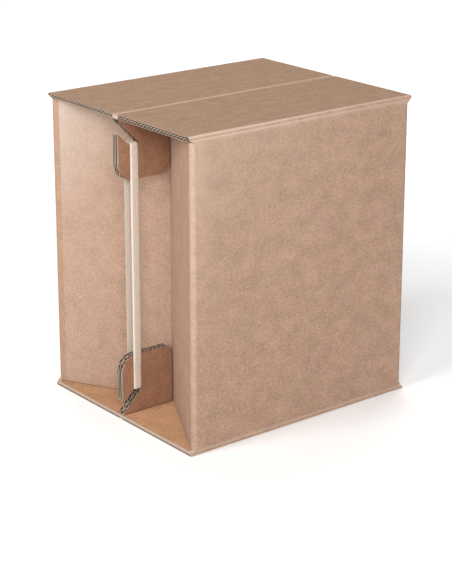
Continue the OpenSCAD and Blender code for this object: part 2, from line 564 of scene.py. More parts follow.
@dataclass(frozen=True)
class ElasticFinish:
    """Cream elastic: cotton-covered rubber threads side by side, which show as fine lengthwise ribs.

    Args:
        name: the material's name.
        crown: colour of a thread's top, sRGB hex.
        valley_shade: colour between two threads, darker as a painted shade in the grooves, sRGB hex.
        rib: distance from thread to thread.
        rib_share: weight of the ribs beside the cotton.
        cotton: width of a fleck of the cotton.
        threads: heights at which the colour is all valley_shade, and all crown.
        relief: height of the ribs.
        bump: how strongly the relief shows.
    """

    name: str
    crown: str
    valley_shade: str
    rib: float = 1.0 * MM
    rib_share: float = 0.6
    cotton: float = 1.6 * MM
    threads: tuple[float, float] = (0.3, 1.2)
    relief: float = 0.2 * MM
    bump: float = 0.5

    def material(self) -> bpy.types.Material:
        """Build the elastic's nodes: ribs along the band, and cotton over them.

        Returns:
            The material.
        """
        material, tree, shader = bare_material(
            self.name, Roughness=0.62, Specular_IOR_Level=0.35, Sheen_Weight=0.15
        )
        add = partial(add_node, tree)
        place = add("TexCoord", {}).outputs["Object"]
        ribs = add("TexWave", {
            "Vector": place, "Scale": wave_scale(self.rib),
        }, wave_type="BANDS", bands_direction="X", wave_profile="SIN")
        cloth = add("TexNoise", {"Vector": place, "Scale": 1 / self.cotton, "Detail": 3.0})
        woven = add("Math", {
            0: ribs.outputs["Fac"], 1: self.rib_share, 2: cloth.outputs["Fac"],
        }, operation="MULTIPLY_ADD")
        share = add("MapRange", {
            "Value": woven.outputs["Value"], "From Min": self.threads[0], "From Max": self.threads[1],
            "To Min": 0.0, "To Max": 1.0,
        })
        # Darker between the ribs, a painted shade in the grooves, with the cotton's random tone over it.
        thread = add("Mix", {
            0: share.outputs["Result"], 6: linear(self.valley_shade), 7: linear(self.crown),
        }, data_type="RGBA")
        bump = add("Bump", {
            "Height": woven.outputs["Value"], "Strength": self.bump, "Distance": self.relief,
        })
        tree.links.new(thread.outputs[2], shader.inputs["Base Color"])
        tree.links.new(bump.outputs["Normal"], shader.inputs["Normal"])
        return material


@dataclass(frozen=True)
class Sizes:
    """Main sizes of the drum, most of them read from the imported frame.

    Args:
        half_w: from the middle to a side edge.
        half_d: from the middle to the front or rear face.
        height: of the seat's top.
        board: thickness of the board.
        fold_r: rounding of the level folds.
        fold_x: of an upright fold's axis, from the middle.
        fold_y: of an upright fold's axis, from the middle.
        flap_angle: of a gusset flap to the drum's depth.
        flap_length: of a flap's inner face from its fold to the crease.
        flap_z: of a flap's lower edge.
        tab_w: width of a hook tab.
        tab_h: depth of a hook tab from the seat's top.
        strip_h: depth of a glue strip from the seat's top.
        strip_w: width of a glue strip.
        strip_slant: slant at a glue strip's free corners.
        ear_land: straight edge at an ear's tip.
        ear_relief: from an ear to where the rounded upright fold begins.
        gap: half of the room between two boards at a crease.
        hole_r: radius of the sound hole.
        saddle: depth of the hook slots' saddles, where the bands sit.
    """

    half_w: float
    half_d: float
    height: float
    board: float
    fold_r: float
    fold_x: float
    fold_y: float
    flap_angle: float
    flap_length: float
    flap_z: float
    tab_w: float
    tab_h: float
    strip_h: float
    strip_w: float = 110 * MM
    strip_slant: float = 8 * MM
    ear_land: float = 1.5 * MM
    ear_relief: float = 1 * MM
    gap: float = 0.15 * MM
    hole_r: float = 52.5 * MM
    saddle: float = 35 * MM

    @classmethod
    def from_frame(cls, joints: list[dict]) -> "Sizes":
        """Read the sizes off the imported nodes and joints.

        A level fold's axis lies on the mitre, so the wall stands out from it by the rounding
        times one less the cosine of 45 degrees.

        Args:
            joints: the frame's joints.

        Returns:
            The sizes.
        """
        seat_low, seat_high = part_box("seat_rear")
        wall_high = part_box("rear_panel")[1]
        flap_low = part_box("right_flap_rear")[0]
        tab_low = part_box("upper_right_tab_rear")[0]
        strip_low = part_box("upper_glue_strip_rear")[0]
        places = {joint["name"]: joint["pos_m"] for joint in joints}
        fold_x, fold_y = places["right_rear_gusset_fold"][:2]
        reach = (fold_x - flap_low.x, fold_y - flap_low.y)
        return cls(
            half_w=seat_high.x,
            half_d=wall_high.y,
            height=seat_high.z,
            board=seat_high.z - seat_low.z,
            fold_r=(wall_high.y - places["fold"][1]) / (1 - math.sqrt(0.5)),
            fold_x=fold_x,
            fold_y=fold_y,
            flap_angle=math.atan2(*reach),
            flap_length=math.hypot(*reach),
            flap_z=flap_low.z,
            tab_w=seat_high.x - tab_low.x,
            tab_h=seat_high.z - tab_low.z,
            strip_h=seat_high.z - strip_low.z,
        )

    @property
    def ear_h(self) -> float:
        """Height of an ear, whose slant is at 45 degrees."""
        return self.ear_land + self.half_w - self.fold_x

    @property
    def round_z(self) -> float:
        """Height where the rounded upright fold begins."""
        return self.ear_h - self.board + self.ear_relief

    @property
    def flap_inward(self) -> np.ndarray:
        """Direction of the right, rear flap from its fold to the crease."""
        return np.array([-math.sin(self.flap_angle), -math.cos(self.flap_angle)])

    @property
    def flap_outward(self) -> np.ndarray:
        """Direction that the right, rear flap's outer face looks."""
        return np.array([math.cos(self.flap_angle), -math.sin(self.flap_angle)])

    def wall_edge(self, z: np.ndarray) -> np.ndarray:
        """Distance from the middle to a wall's side edge at each height: out at the ears, else in."""
        from_end = np.minimum(z, self.height - z)
        return np.interp(from_end, [self.ear_land, self.ear_h], [self.half_w, self.fold_x])


@dataclass(frozen=True)
class Corner:
    """Corner of the drum that a piece belongs to; pieces are worked out for the right, rear, upper one.

    Args:
        right: whether it is the right one.
        rear: whether it is the rear one.
        upper: whether it is the upper one.
    """

    right: bool = True
    rear: bool = True
    upper: bool = True

    def place(self, shells: list[Shell], height: float) -> list[Shell]:
        """Mirror surfaces from the right, rear, upper corner to this one, with the drum's height."""
        return [replace(shell, points=self.mirror(shell.points, height)) for shell in shells]

    def mirror(self, points: np.ndarray, height: float) -> np.ndarray:
        """Mirror points from the right, rear, upper corner to this one, with the drum's height."""
        signs = np.array([1 if side else -1 for side in (self.right, self.rear, self.upper)])
        return points * signs + np.array([0, 0, 0 if self.upper else height])

    @property
    def end(self) -> str:
        """Rear or front, as in the names of nodes."""
        return "rear" if self.rear else "front"

    @property
    def side(self) -> str:
        """Right or left, as in the names of nodes."""
        return "right" if self.right else "left"

    @property
    def level(self) -> str:
        """Upper or lower, as in the names of nodes."""
        return "upper" if self.upper else "lower"

    @property
    def sheet(self) -> str:
        """Node of the seat half or base half."""
        return f"{'seat' if self.upper else 'base'}_{self.end}"

    @property
    def panel(self) -> str:
        """Node of the rear or front panel."""
        return f"{self.end}_panel"

    @property
    def flap(self) -> str:
        """Node of the gusset flap."""
        return f"{self.side}_flap_{self.end}"


@dataclass(frozen=True)
class Liner:
    """Flat paper of a board.

    Args:
        sides: depths of its bare and its glued side below the board's outer face.
        paper: what its bare side shows.
    """

    sides: tuple[float, float]
    paper: Paper


@dataclass(frozen=True)
class Board:
    """Single-wall corrugated board: a fluted paper glued between two liners.

    Args:
        thickness: of the whole board.
        liner: thickness of a liner.
        paper: thickness of the fluted paper, drawn as thick as its frayed cut edge looks.
        pitch: distance from flute to flute.
        per_flute: how many points a flute's wave has.
        recess: how far the flutes stand back from a cut edge.
        pressed: how far they stand back from an edge that is pressed shut.
    """

    thickness: float
    liner: float = 0.4 * MM
    paper: float = 0.7 * MM
    pitch: float = 5.8 * MM
    per_flute: int = 12
    recess: float = 0.2 * MM
    pressed: float = 4.5 * MM

    @property
    def inner(self) -> float:
        """Depth of the inner liner's glued side."""
        return self.thickness - self.liner

    @property
    def liners(self) -> tuple[Liner, Liner]:
        """Outer and inner liner."""
        return Liner((0.0, self.liner), Paper.OUTER), Liner((self.thickness, self.inner), Paper.INNER)

    def stations(self, start: float, stop: float) -> np.ndarray:
        """Evenly spaced places across the flutes from start to stop."""
        return np.linspace(start, stop, max(3, round(self.per_flute * (stop - start) / self.pitch) + 1))

    def depths(self, across: np.ndarray, full: np.ndarray | float = 1.0) -> tuple[np.ndarray, np.ndarray]:
        """Depth of both faces of the fluted paper, a sine wave that is thickened across its slope.

        Args:
            across: places across the flutes.
            full: share of the wave's height that is left where a cut has flattened it.

        Returns:
            The depths of the upper and the lower face.
        """
        swing = full * (self.inner - self.liner - self.paper) / 2
        turn = 2 * math.pi / self.pitch
        middle = self.thickness / 2 - swing * np.sin(turn * across)
        half = self.paper / 2 * np.sqrt(1 + (swing * turn * np.cos(turn * across)) ** 2)
        return np.maximum(middle - half, self.liner), np.minimum(middle + half, self.inner)


@dataclass(frozen=True)
class BoardPiece:
    """Piece of board, worked out for the right, rear, upper corner and mirrored to its own.

    Args:
        sizes: the drum's sizes.
        board: the board's make-up.
        corner: which one it is.
    """

    sizes: Sizes
    board: Board
    corner: Corner

    @property
    def node(self) -> str:
        """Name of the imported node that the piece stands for."""
        raise NotImplementedError

    @property
    def body_and_slot(self) -> tuple[str, str]:
        """Body that the piece moves with, and the record's material slot."""
        return self.node, "kraft_board"

    def shells(self) -> list[Shell]:
        """Closed surfaces of the piece, in the right, rear, upper corner."""
        raise NotImplementedError

    def build(self, papers: list[bpy.types.Material]) -> bpy.types.Object:
        """Make the piece in its own corner and let it stand for its node.

        Args:
            papers: materials in the order of Paper.

        Returns:
            The object.
        """
        shells = self.corner.place(self.shells(), self.sizes.height)
        return stand_for(make_object(f"{self.node}_board", shells, papers), self.node, *self.body_and_slot)


@dataclass(frozen=True)
class SeatHalf(BoardPiece):
    """Half of the seat or the base, from the level fold to the rounded lip at the crease.

    Args:
        crushed: length beside the crease where the flutes are crushed flat.
        tilt: how far the base's pressed edge leans in towards the floor.
        flat: share of the flutes' height that the blade has left at a cut edge.
        soft: length beside a cut edge that it has flattened.
        nip: how much thinner the seat's rear half is at its cut edges.
        lip_run: from where the lip's paler paper begins to its rounding.
        lip_rub_and_light: paleness where the rounding begins, and where it ends, part wear and part painted
            highlight.
        edge_worn: wear of the seat's pressed edges.
        edge_floor_shade: how much less pale the base's pressed edges are at the floor, a painted shade that
            darkens them towards it.
    """

    crushed: float = 4 * MM
    tilt: float = 0.8 * MM
    flat: float = 0.5
    soft: float = 9 * MM
    nip: float = 1.1 * MM
    lip_run: float = 1 * MM
    lip_rub_and_light: tuple[float, float] = (0.5, 1)
    edge_worn: float = 0.9
    edge_floor_shade: float = 0.65

    @property
    def node(self) -> str:
        """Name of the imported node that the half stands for."""
        return self.corner.sheet

    def thinner(self) -> np.ndarray:
        """How much thinner the half is at four places across it: its cut edges, and where they end."""
        return self.nip * np.array([[1, 0, 0, 1]]) * (self.corner.upper and self.corner.rear)

    def width(self, edge: float) -> np.ndarray:
        """Four places across the width, for a sheet that ends at a distance from the middle."""
        return np.array([[-edge, self.soft - edge, edge - self.soft, edge]])

    def outer_liner(self) -> Shell:
        """Carry the outer liner's profile along the width: flat from the fold, round the lip and down.

        Returns:
            The liner, paler at the lip, part wear and part painted highlight.
        """
        s = self.sizes
        lip, away = arc((s.gap + s.fold_r, s.height - s.fold_r), s.fold_r, 90, 180, steps=9)
        flat = [[s.half_d - s.fold_r, s.height], [s.gap + s.fold_r + self.lip_run, s.height]]
        face = np.concatenate([flat, lip, [[s.gap, s.height - s.board]]])
        back = face - self.board.liner * np.concatenate([[[0, 1], [0, 1]], away, [[-1, 0]]])
        x = np.array([[-s.half_w, s.half_w]])
        # The lip is paler: part wear, part painted highlight where it catches the light.
        wear_and_light = np.concatenate([[0, 0], np.linspace(*self.lip_rub_and_light, len(lip)), self.lip_rub_and_light[1:]])
        # The base's outer liner has the dark fluted paper on its rim: a painted contact shadow along the
        # floor.
        rim = Paper.CUT if self.corner.upper else Paper.FLUTING
        return closed_sheet(*carried(x, face, back), rim=rim, wear_and_light=wear_and_light[:, None])

    def inner_liner(self) -> Shell:
        """Flat liner on the drum's inside, mitred at the fold and butted against the lip.

        Returns:
            The liner.
        """
        s = self.sizes
        grids = []
        for depth in (self.board.thickness, self.board.inner):
            y = np.array([[s.gap + self.board.liner], [s.half_d - depth - s.gap]])
            grids.append(points_of(self.width(s.half_w), y, s.height - depth + self.thinner()))
        return closed_sheet(*grids, paper=Paper.INNER)

    def fluting(self) -> Shell:
        """Fluted paper, a wave from the lip to the fold, carried along the width.

        Returns:
            The paper, flattened at cut edges.
        """
        s, b = self.sizes, self.board
        y = b.stations(s.gap + self.crushed, s.half_d - b.inner - s.gap)[:, None]
        edge = s.half_w - (b.recess if self.corner.upper else b.pressed + self.tilt)
        full = np.array([[self.flat, 1, 1, self.flat]])
        lift = s.height + self.thinner() / 2
        grids = [points_of(self.width(edge), y, lift - depth) for depth in b.depths(y, full)]
        return closed_sheet(*grids, paper=Paper.FLUTING)

    def pressed_edges(self) -> list[Shell]:
        """Paper that closes both side edges: of the seat beside the crease, of the base all along.

        The outline goes round the lip's inside, along the outer liner and back along the inner one.

        Returns:
            The left and the right edge.
        """
        s, b = self.sizes, self.board
        lip, _ = arc((s.gap + s.fold_r, s.height - s.fold_r), s.fold_r - b.liner, 180, 90, steps=7)
        if self.corner.upper:
            far = np.array([[s.gap + self.crushed, s.height - depth] for depth in (b.liner, b.inner)])
        else:
            bend, _ = arc((s.half_d - s.fold_r, s.height - s.fold_r), s.fold_r - b.liner, 90, 45, steps=4)
            far = np.concatenate([bend, [[s.half_d - b.inner, s.height - b.inner]]]) - [s.gap, 0]
        line = np.concatenate([lip, far, [[s.gap + b.liner, s.height - b.inner]]])
        lean = 0 if self.corner.upper else self.tilt
        share = (line[:, 1] - s.height + b.inner) / b.inner
        back = b.recess / 4 + lean * share
        # The seat's edges are worn pale; the base's are pale at the top and darker towards the floor, where
        # the dark fluted paper shows: a painted shade.
        wear_and_light = np.full_like(share, self.edge_worn) if self.corner.upper else 1 - self.edge_floor_shade * share
        sheets = []
        for side in (-1, 1):
            outline = points_of(side * (s.half_w - back), line[:, 0], line[:, 1])
            sheet = plate(outline, np.array([side * (b.recess - b.pressed), 0, 0]), Paper.FLUTING)
            sheets.append(replace(sheet, wear_and_light=np.tile(wear_and_light, 2)))
        return sheets

    def shells(self) -> list[Shell]:
        """Both liners, the fluted paper between them, and the pressed edges."""
        return [self.outer_liner(), self.inner_liner(), self.fluting(), *self.pressed_edges()]


@dataclass(frozen=True)
class UprightWall(BoardPiece):
    """Front or rear panel: mitred at its level folds, with slanted ears at its corners.

    Args:
        joint: height from an ear to where the part with the sound hole begins.
        fade: width beside the upright folds over which the painted highlight fades.
        wear_and_light: paleness at the top beside the left upright fold, beside the right one, and under the
            seat's fold: a painted highlight, strongest on the left, and part wear under the fold.
        corner_light_pool: how much paler the front's upper left corner is painted, a painted pool of light.
        steps: rows and columns of points between the ears of a panel without a hole.
        spokes: points round the sound hole, apart from those towards the corners.
    """

    joint: float = 1 * MM
    fade: float = 24 * MM
    wear_and_light: tuple[float, float, float] = (0.42, 0.06, 0.24)
    corner_light_pool: float = 0.18
    steps: int = 9
    spokes: int = 96

    @property
    def node(self) -> str:
        """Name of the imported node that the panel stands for."""
        return self.corner.panel

    def start(self, liner: Liner) -> float:
        """Distance from the seat's top where a liner begins, the outer one below the fold's rounding."""
        return self.sizes.fold_r if liner.paper is Paper.OUTER else self.sizes.board + self.sizes.gap

    def across(self, liner: Liner, down: np.ndarray) -> Shell:
        """Carry a liner's upright profile from one side edge to the other.

        The painted highlight at both edges and the painted pool of light in the corner fade with the square
        of the height.

        Args:
            liner: which one it is.
            down: distances of the profile's points from the seat's top.

        Returns:
            The liner, or a strip of it.
        """
        s = self.sizes
        z = s.height - down[:, None]
        edge = s.wall_edge(z)
        share = np.linspace(0, 1, self.steps)
        x = np.concatenate([-edge, (edge - self.fade) * (2 * share - 1), edge], axis=1)
        # Paler beside the side edges, most on the left, and in the front's upper left corner, fading
        # downwards: a painted highlight and a painted pool of light; the top row, under the seat's fold, is
        # part wear.
        high = (z / s.height) ** 2
        left, right, seat = self.wear_and_light
        light_pool = self.corner_light_pool * (not self.corner.rear) * (1 - share) * high
        wear_and_light = np.concatenate([left * high, light_pool, right * high], axis=1)
        wear_and_light[0] = np.maximum(wear_and_light[0], seat)
        grids = [points_of(x, np.array(s.half_d - depth), z) for depth in liner.sides]
        return closed_sheet(*grids, paper=liner.paper, wear_and_light=wear_and_light)

    def whole_liner(self, liner: Liner) -> list[Shell]:
        """Liner of a panel without a hole, in one sheet from fold to fold.

        Args:
            liner: which one it is.

        Returns:
            The sheet.
        """
        s = self.sizes
        start = self.start(liner)
        middle = np.linspace(s.ear_h, s.height - s.ear_h, self.steps)
        return [self.across(liner, np.concatenate([[start], middle, [s.height - start]]))]

    def holed_liner(self, liner: Liner) -> list[Shell]:
        """Liner with the sound hole: two end strips, and a ring from the circle out to a rectangle.

        Args:
            liner: which one it is.

        Returns:
            The upper end, the lower end and the ring.
        """
        s = self.sizes
        last = s.ear_h + self.joint
        end = self.across(liner, np.array([self.start(liner), s.ear_h, last]))
        half_h = s.height / 2 - last
        turn = math.atan2(half_h, s.fold_x)
        corners = [turn, math.pi - turn, math.pi + turn, 2 * math.pi - turn]
        even = np.linspace(0, 2 * math.pi, self.spokes, endpoint=False)
        angles = np.unique(np.concatenate([even, corners]))
        way = np.stack([np.cos(angles), np.sin(angles)], axis=-1)
        reach = np.min(np.array([s.fold_x, half_h]) / np.maximum(np.abs(way), TINY), axis=1)
        ring = np.stack([np.full_like(reach, s.hole_r), reach], axis=-1)
        z = s.height / 2 + ring * way[:, 1:]
        grids = [points_of(ring * way[:, :1], np.array(s.half_d - depth), z) for depth in liner.sides]
        lower = Corner(upper=False).place([end], s.height)
        return [end, *lower, closed_sheet(*grids, paper=liner.paper, loop=True)]

    def fluting(self) -> list[Shell]:
        """Fluted paper in level waves, cut to the ears and, as four sheets, round the sound hole.

        Returns:
            One sheet, or with a sound hole the ones below, above, left and right of it.
        """
        s, b = self.sizes, self.board
        low = b.inner + s.gap
        middle = s.height / 2
        hole = s.hole_r + b.recess
        spans = [(low, s.height - low, 0)]
        if self.corner.rear:
            spans = [(low, middle - hole, 0), (middle + hole, s.height - low, 0)]
            spans += [(middle - hole, middle + hole, side) for side in (-1, 1)]
        sheets = []
        for start, stop, side in spans:
            z = b.stations(start, stop)
            edge = s.wall_edge(z) - b.pressed
            chord = np.sqrt(np.maximum(hole ** 2 - (z - middle) ** 2, 0))
            ends = [chord if side == 1 else -edge, -chord if side == -1 else edge]
            x = np.stack(ends, axis=-1)
            grids = [points_of(x, s.half_d - depth[:, None], z[:, None]) for depth in b.depths(z)]
            sheets.append(closed_sheet(*grids, paper=Paper.FLUTING))
        return sheets

    def pressed_ears(self) -> list[Shell]:
        """Paper that closes the slanted edges of the four ears, which are pressed shut.

        The outline goes up the outer liner, round the fold's inside to the mitre, and back.

        Returns:
            The four ears.
        """
        s, b = self.sizes, self.board
        bend, _ = arc((s.half_d - s.fold_r, s.height - s.fold_r), s.fold_r - 2 * b.liner, 0, 45, steps=4)
        ends = [[s.half_d - depth, s.height - s.ear_h] for depth in (b.inner, b.liner)]
        mitre = [[s.half_d - b.inner, s.height - b.inner - s.gap]]
        line = np.concatenate([ends, bend - [0, s.gap], mitre])
        outline = points_of(s.wall_edge(line[:, 1]) - b.recess, line[:, 0], line[:, 1])
        ear = plate(outline, np.array([2 * b.recess - b.pressed, 0, 0]), Paper.CUT)
        corners = [Corner(right, upper=upper) for right in (True, False) for upper in (True, False)]
        return [shell for corner in corners for shell in corner.place([ear], s.height)]

    def shells(self) -> list[Shell]:
        """Both liners, the fluted paper between them, and the pressed ears."""
        sheets = self.holed_liner if self.corner.rear else self.whole_liner
        liners = [shell for liner in self.board.liners for shell in sheets(liner)]
        return liners + self.fluting() + self.pressed_ears()


@dataclass(frozen=True)
class GussetFlap(BoardPiece):
    """Side flap from an upright fold to the gusset's crease in the mid-plane.

    Args:
        painted_haze: paleness of a rear flap's outer face at the bottom, in the middle and at the top beside
            the upright fold, a painted haze of light that is strongest at the top; it fades towards the
            crease.
    """

    painted_haze: tuple[float, float, float] = (0.04, 0.06, 0.36)

    @property
    def node(self) -> str:
        """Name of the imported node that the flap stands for."""
        return self.corner.flap

    def layer(self, z: np.ndarray, depths: tuple[np.ndarray, np.ndarray], paper: Paper,
              recess: float = 0) -> Shell:
        """Close rows at given heights into a sheet that runs from the fold to the mitred crease.

        Args:
            z: height of each row.
            depths: of each row on the two faces, below the flap's outer face.
            paper: what the sheet shows.
            recess: how far the rows stop short of the crease.

        Returns:
            The sheet.
        """
        s = self.sizes
        inward, outward = s.flap_inward, s.flap_outward
        grids = []
        for depth in depths:
            last = s.flap_length - (s.board - depth) * math.tan(s.flap_angle) - recess
            run = np.stack([np.full_like(last, s.gap), last], axis=-1)
            lift = (s.board - depth)[:, None]
            x = s.fold_x + run * inward[0] + lift * outward[0]
            y = s.fold_y + run * inward[1] + lift * outward[1]
            grids.append(points_of(x, y, z[:, None]))
        # A rear flap is painted paler towards its top beside the fold: a painted haze of light.
        wear_and_light = np.interp(z, np.linspace(z[0], z[-1], len(self.painted_haze)), self.painted_haze)[:, None] * [[1, 0]]
        return closed_sheet(*grids, paper=paper, wear_and_light=wear_and_light * (self.corner.rear and paper is Paper.OUTER))

    def shells(self) -> list[Shell]:
        """Both liners in as many rows as their painted haze has, and the fluted paper between them.

        Returns:
            The three sheets.
        """
        s, b = self.sizes, self.board
        rows = np.linspace(s.flap_z, s.height - s.flap_z, len(self.painted_haze))
        z = b.stations(rows[0] + b.recess, rows[-1] - b.recess)
        sheets = []
        for liner in b.liners:
            depths = tuple(np.full_like(rows, depth) for depth in liner.sides)
            sheets.append(self.layer(rows, depths, liner.paper))
        return sheets + [self.layer(z, b.depths(z), Paper.FLUTING, b.recess)]


@dataclass(frozen=True)
class HangingBoard(BoardPiece):
    """Board that hangs from the crease against the mid-plane, with upright flutes.

    Args:
        groove: height of the crease's groove.
        least: height that is left of the flutes where the outline runs to a point.
    """

    groove: float = 1.2 * MM
    least: float = 0.02 * MM

    @property
    def body_and_slot(self) -> tuple[str, str]:
        """Body that the board moves with, and the record's material slot."""
        return f"{self.corner.level}_tabs", "kraft_tab"

    @property
    def top(self) -> float:
        """Depth of its upper edge, which leaves the crease's groove open under the seat."""
        return self.sizes.board + self.groove

    def outline(self) -> np.ndarray:
        """Corners of the board, distance from the side edge and depth below the seat's top."""
        raise NotImplementedError

    def patches(self) -> list[tuple[float, float, Depth, Depth]]:
        """Spans of the flutes: first and last distance, and functions of the upper and lower depth."""
        raise NotImplementedError

    def head(self, p: np.ndarray) -> np.ndarray:
        """Depth of the level upper edge at each distance."""
        return np.full_like(p, self.top)

    def flat(self, liner: Liner, paper: Paper) -> Shell:
        """Carry the outline through a liner's thickness.

        Args:
            liner: which one it is.
            paper: what its bare side shows.

        Returns:
            The liner.
        """
        s = self.sizes
        edge = self.outline()
        bare, glued = liner.sides
        face = points_of(s.half_w - edge[:, 0], np.array(s.board - bare + s.gap / 2), s.height - edge[:, 1])
        return plate(face, np.array([0, bare - glued, 0]), paper)

    def fluting(self) -> list[Shell]:
        """Fluted paper in upright waves, cut to the outline.

        Returns:
            One sheet for each span.
        """
        s, b = self.sizes, self.board
        sheets = []
        for first, last, upper, lower in self.patches():
            p = b.stations(first + b.recess, last)
            q = np.stack([upper(p) + b.recess, lower(p) - b.recess], axis=-1)
            q[:, 1] = np.maximum(q[:, 1], q[:, 0] + self.least)
            x = (s.half_w - p)[:, None]
            faces = [(s.board - depth + s.gap / 2)[:, None] for depth in b.depths(p)]
            grids = [points_of(x, y, s.height - q) for y in faces]
            sheets.append(closed_sheet(*grids, paper=Paper.FLUTING))
        return sheets

    def shells(self) -> list[Shell]:
        """Both liners, turned so that the inner paper faces away from the mid-plane, and the fluted paper."""
        liners = zip(self.board.liners, (Paper.INNER, Paper.OUTER))
        return [self.flat(*liner) for liner in liners] + self.fluting()


@dataclass(frozen=True)
class HookTab(HangingBoard):
    """Hook tab: a slanted slot leads to a saddle where the elastic band sits.

    Args:
        round_r: rounding of the free corner.
        mouth: depth of the slot's mouth at the side edge.
        mouth_w: height of the mouth.
        end_h: height of the slot's round end over the saddle.
        near: distance from the side edge to the saddle's start.
        far: distance to where the slot's round end begins.
        slant_w: length of the slant at the inner free corner.
        slant_h: height of that slant.
    """

    round_r: float = 18 * MM
    mouth: float = 6 * MM
    mouth_w: float = 15.5 * MM
    end_h: float = 3 * MM
    near: float = 14.7 * MM
    far: float = 25.3 * MM
    slant_w: float = 6 * MM
    slant_h: float = 4.5 * MM

    @property
    def node(self) -> str:
        """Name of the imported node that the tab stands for."""
        return f"{self.corner.level}_{self.corner.side}_tab_{self.corner.end}"

    def outline(self) -> np.ndarray:
        """Corners of the tab: slanted inner corner, rounded outer corner, and the slot with its round end.

        Returns:
            Distance from the side edge and depth below the seat's top, one row each.
        """
        s = self.sizes
        free, _ = arc((self.round_r, s.tab_h - self.round_r), self.round_r, 90, 180, steps=13)
        end, _ = arc((self.far, s.saddle - self.end_h / 2), self.end_h / 2, 90, -90, steps=9)
        return np.concatenate([
            [[s.tab_w, self.top], [s.tab_w, s.tab_h - self.slant_h], [s.tab_w - self.slant_w, s.tab_h]],
            free,
            [[0, self.mouth + self.mouth_w], [self.near, s.saddle]],
            end,
            [[0, self.mouth], [0, self.top]],
        ])

    def end_half(self, p: np.ndarray) -> np.ndarray:
        """Half the height of the slot's round end, from the circle's equation."""
        return np.sqrt(np.maximum((self.end_h / 2) ** 2 - np.maximum(p - self.far, 0) ** 2, 0))

    def slot_top(self, p: np.ndarray) -> np.ndarray:
        """Depth of the slot's upper side: a straight slant, then the round end."""
        slant = np.interp(p, [0, self.far], [self.mouth, self.sizes.saddle - self.end_h])
        return np.where(p > self.far, self.sizes.saddle - self.end_h / 2 - self.end_half(p), slant)

    def slot_bottom(self, p: np.ndarray) -> np.ndarray:
        """Depth of the slot's lower side: a slant to the level saddle, then the round end."""
        slant = np.interp(p, [0, self.near], [self.mouth + self.mouth_w, self.sizes.saddle])
        return np.where(p > self.far, self.sizes.saddle - self.end_h / 2 + self.end_half(p), slant)

    def foot(self, p: np.ndarray) -> np.ndarray:
        """Depth of the free lower edge, rounded at the side by the circle's equation and slanted inside.

        Args:
            p: distances from the side edge.

        Returns:
            The depth at each.
        """
        s = self.sizes
        away = np.maximum(self.round_r - p, 0)
        rise = np.interp(p, [s.tab_w - self.slant_w, s.tab_w], [0, self.slant_h])
        return s.tab_h - rise - self.round_r + np.sqrt(np.maximum(self.round_r ** 2 - away ** 2, 0))

    def patches(self) -> list[tuple[float, float, Depth, Depth]]:
        """Flutes of the hook below the slot, of the strip above it, and of the whole inner part.

        Returns:
            First and last distance, and the functions of the upper and lower depth, of each.
        """
        tip = self.far + self.end_h / 2
        last = self.sizes.tab_w - self.board.recess
        return [
            (0, tip, self.slot_bottom, self.foot),
            (0, tip, self.head, self.slot_top),
            (tip, last, self.head, self.foot),
        ]


@dataclass(frozen=True)
class GlueStrip(HangingBoard):
    """Glue strip between the two hook tabs, with slanted free corners."""

    @property
    def node(self) -> str:
        """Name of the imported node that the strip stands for."""
        return f"{self.corner.level}_glue_strip_{self.corner.end}"

    def lower_edge(self) -> np.ndarray:
        """Corners of the free edge from the near to the far side: up, down, along and up again.

        Returns:
            Distance from the side edge and depth below the seat's top, one row each.
        """
        s = self.sizes
        first, last = s.half_w - s.strip_w / 2, s.half_w + s.strip_w / 2
        high = s.strip_h - s.strip_slant
        level = [[first + s.strip_slant, s.strip_h], [last - s.strip_slant, s.strip_h]]
        return np.array([[first, high], *level, [last, high]])

    def outline(self) -> np.ndarray:
        """Corners of the strip: the upper edge, then the lower edge back again."""
        edge = self.lower_edge()
        return np.concatenate([[[edge[0, 0], self.top], [edge[-1, 0], self.top]], edge[::-1]])

    def foot(self, p: np.ndarray) -> np.ndarray:
        """Depth of the free lower edge, which rises at both slanted corners."""
        return np.interp(p, *self.lower_edge().T)

    def patches(self) -> list[tuple[float, float, Depth, Depth]]:
        """Flutes of the whole strip in one span."""
        edge = self.lower_edge()
        return [(edge[0, 0], edge[-1, 0] - self.board.recess, self.head, self.foot)]


@dataclass(frozen=True)
class Crease:
    """Bent outer paper over a fold, which joins the boards on both sides of it.

    Args:
        sizes: the drum's sizes.
        corner: which fold it is.
        lift: of the paper over the boards under it.
    """

    sizes: Sizes
    corner: Corner
    lift: float = 0.02 * MM

    @property
    def name(self) -> str:
        """Name of the piece."""
        raise NotImplementedError

    @property
    def bodies(self) -> tuple[str, str]:
        """Bodies at the crease's start and end."""
        raise NotImplementedError

    def bent_paper(self) -> tuple[Shell, np.ndarray]:
        """Paper in the right, rear, upper corner, and where its bend starts and ends."""
        raise NotImplementedError

    def build(self, papers: list[bpy.types.Material]) -> bpy.types.Object:
        """Make the crease in its own corner.

        Args:
            papers: materials in the order of Paper.

        Returns:
            The object.
        """
        shell, ends = self.bent_paper()
        piece = make_object(self.name, self.corner.place([shell], self.sizes.height), papers)
        start, end = self.corner.mirror(ends, self.sizes.height)
        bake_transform(piece)
        return piece


